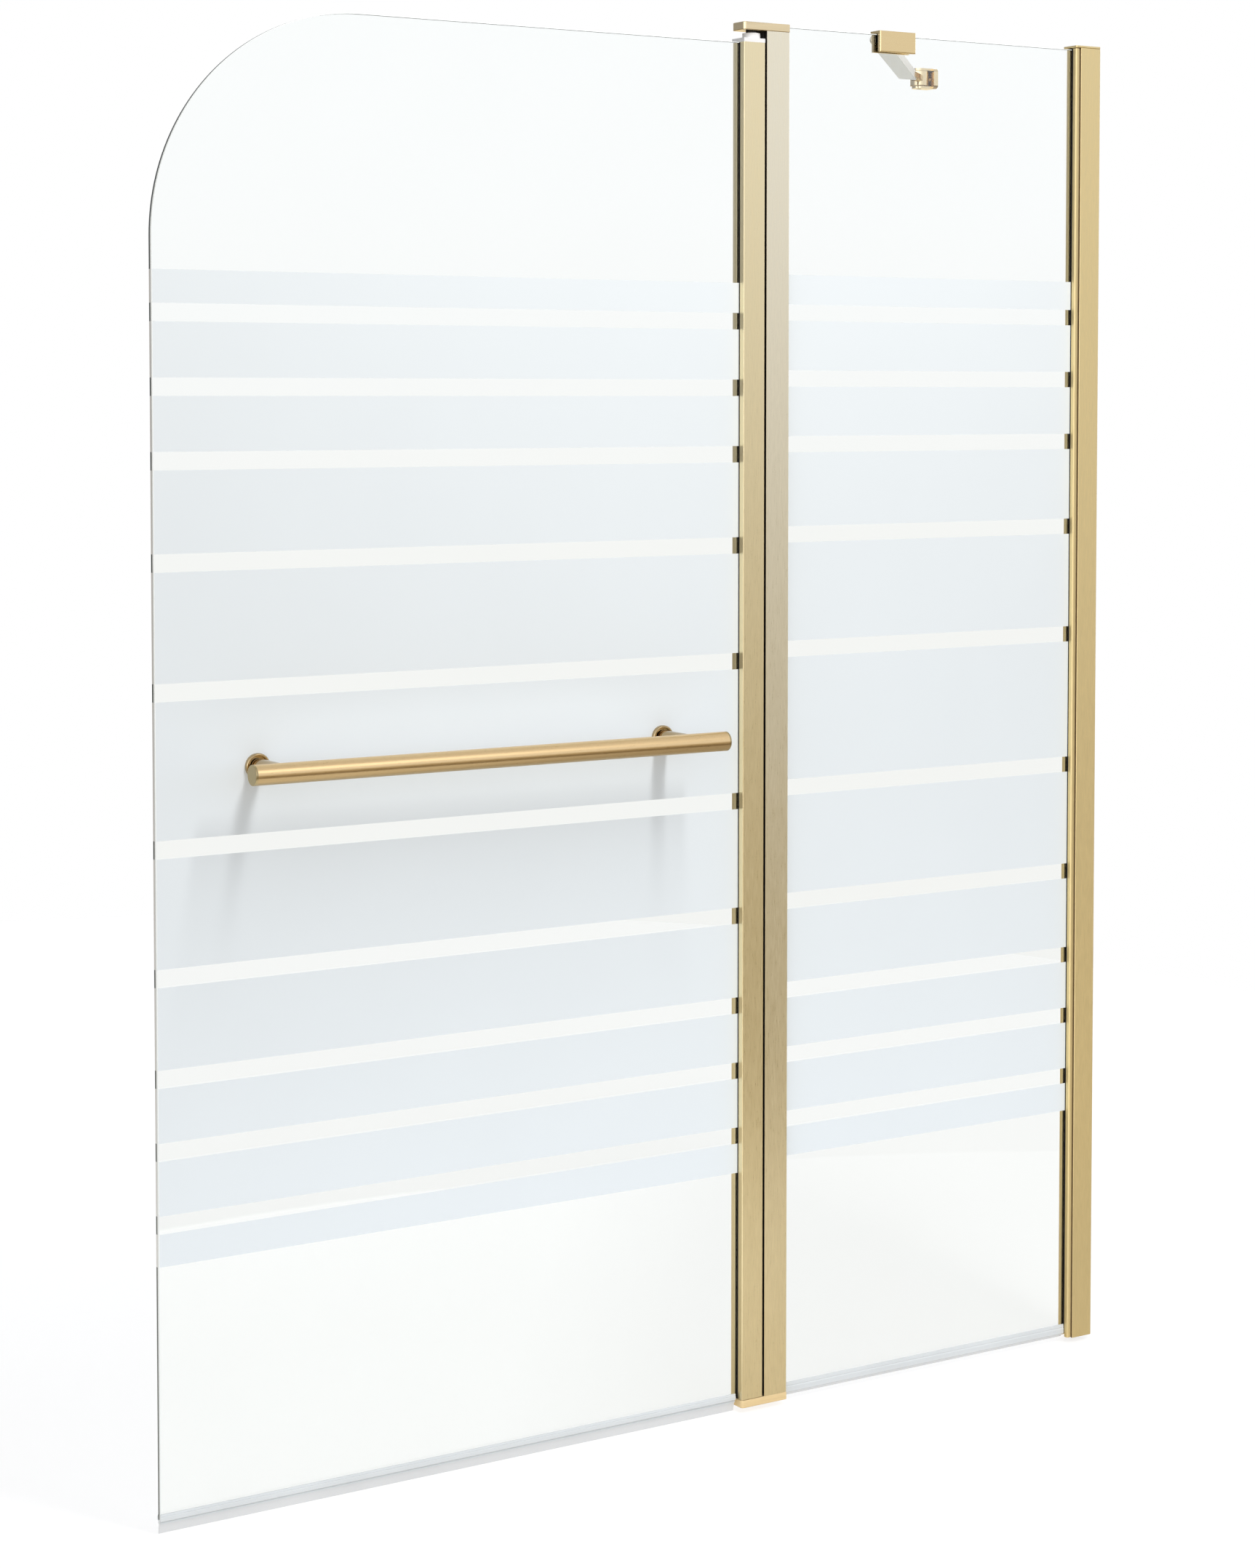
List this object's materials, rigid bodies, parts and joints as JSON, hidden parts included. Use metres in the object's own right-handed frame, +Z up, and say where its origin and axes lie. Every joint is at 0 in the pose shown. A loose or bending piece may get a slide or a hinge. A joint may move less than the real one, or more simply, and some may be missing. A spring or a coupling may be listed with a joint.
{
  "type": "bath screen",
  "caption": "Framed glass bath screen: a pivoting door with a rounded upper corner and a towel bar beside a fixed panel that is held by a wall profile and a support arm.",
  "frame": {"origin": "middle of the wall profile's back face", "axes": "+X into the wall, +Y to the bath side, +Z up"},
  "size_m": [1.1, 0.3701, 1.4088],
  "materials": {
    "gold_profile": "brushed, anodised gold",
    "gold_cap": "satin gold",
    "gold_fitting": "brushed gold",
    "silver_bar": "satin",
    "clear_glass": "clear, with plain frosted bands",
    "black_rubber": "matt",
    "clear_plastic": "clear",
    "grey_lip": "soft, translucent",
    "white_plastic": "smooth",
    "black_plastic": "smooth",
    "plain_steel": "plain"
  },
  "bodies": {
    "wall_mount": {"wall_profile": "gold_profile", "wall_profile_cap": "gold_cap"},
    "fixed_panel": {"adjusting_profile": "gold_profile", "adjusting_gasket": "black_rubber", "fixed_glass": "clear_glass", "hinge_post": "gold_profile", "post_gasket": "black_rubber", "hinge_seal_strip": "black_rubber", "top_hinge_cap": "gold_cap", "bottom_hinge_cap": "gold_cap", "top_pivot_pin": "plain_steel", "bottom_pivot_pin": "plain_steel", "top_washer": "black_plastic", "bottom_washer": "black_plastic", "fixed_seal_carrier": "clear_plastic", "fixed_seal_lip": "grey_lip", "arm_clamp": "gold_fitting", "arm_clamp_pad": "black_rubber", "arm_clamp_screws": "gold_fitting", "arm_clamp_pin": "plain_steel"},
    "door": {"door_glass": "clear_glass", "door_profile": "gold_profile", "door_gasket": "black_rubber", "top_pivot_bush": "white_plastic", "bottom_pivot_bush": "white_plastic", "door_seal_carrier": "clear_plastic", "door_seal_lip": "grey_lip", "towel_bar": "gold_fitting", "towel_end_cap_left": "gold_fitting", "towel_end_cap_right": "gold_fitting", "towel_post_left": "gold_fitting", "towel_post_right": "gold_fitting", "towel_rosette_left": "gold_fitting", "towel_rosette_right": "gold_fitting", "towel_back_cap_left": "gold_fitting", "towel_back_cap_right": "gold_fitting"},
    "support_arm": {"support_bar": "silver_bar"},
    "arm_wall_bracket": {"wall_bracket": "gold_fitting", "wall_bracket_pin": "plain_steel"}
  },
  "joints": [
    {"name": "panel_adjust", "type": "slide", "parent": "wall_mount", "child": "fixed_panel", "axis": [1, 0, 0], "range_m": [-0.008, 0.004]},
    {"name": "door_swing", "type": "hinge", "parent": "fixed_panel", "child": "door", "pos_m": [-0.449, 0, 0], "axis": [0, 0, 1], "range_deg": [-90, 90]},
    {"name": "arm_swing", "type": "hinge", "parent": "fixed_panel", "child": "support_arm", "pos_m": [-0.271, 0.02, 0.6928], "axis": [0, 0, 1], "range_deg": [0, 43]},
    {"name": "bracket_swing", "type": "hinge", "parent": "support_arm", "child": "arm_wall_bracket", "pos_m": [-0.018, 0.28309, 0.6928], "axis": [0, 0, 1], "range_deg": [-40, 40]}
  ]
}
